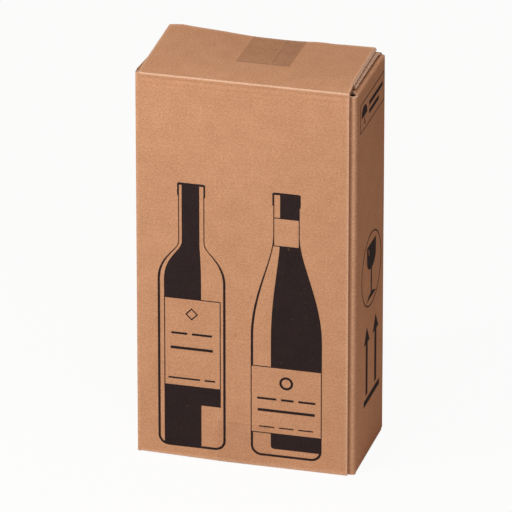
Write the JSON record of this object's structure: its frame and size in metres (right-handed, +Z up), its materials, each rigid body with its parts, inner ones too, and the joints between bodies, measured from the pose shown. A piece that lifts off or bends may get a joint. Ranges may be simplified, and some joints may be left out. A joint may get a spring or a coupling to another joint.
{
  "type": "bottle shipping box",
  "caption": "Tall corrugated carton for wine bottles, closed and taped, with printed bottles, handling marks and a folded bottle fitment inside.",
  "frame": {"origin": "under the middle of the box, on the surface that it stands on", "axes": "+Z up along the box's height, +X to the right along the printed front, the front facing -Y"},
  "size_m": [0.2061, 0.1083, 0.3852],
  "materials": {
    "kraft_board": "matt brown kraft liner over flutes",
    "inner_board": "matt plain kraft, thinner board",
    "black_ink": "matt black water-based print",
    "clear_tape": "clear glossy packing tape"
  },
  "bodies": {
    "root": {"outer_case": "kraft_board", "top_tape": "clear_tape", "bottom_tape": "clear_tape", "front_print": "black_ink", "side_print": "black_ink", "base_cradle": "inner_board", "bottle_divider": "inner_board", "neck_cradle": "inner_board"}
  },
  "joints": []
}
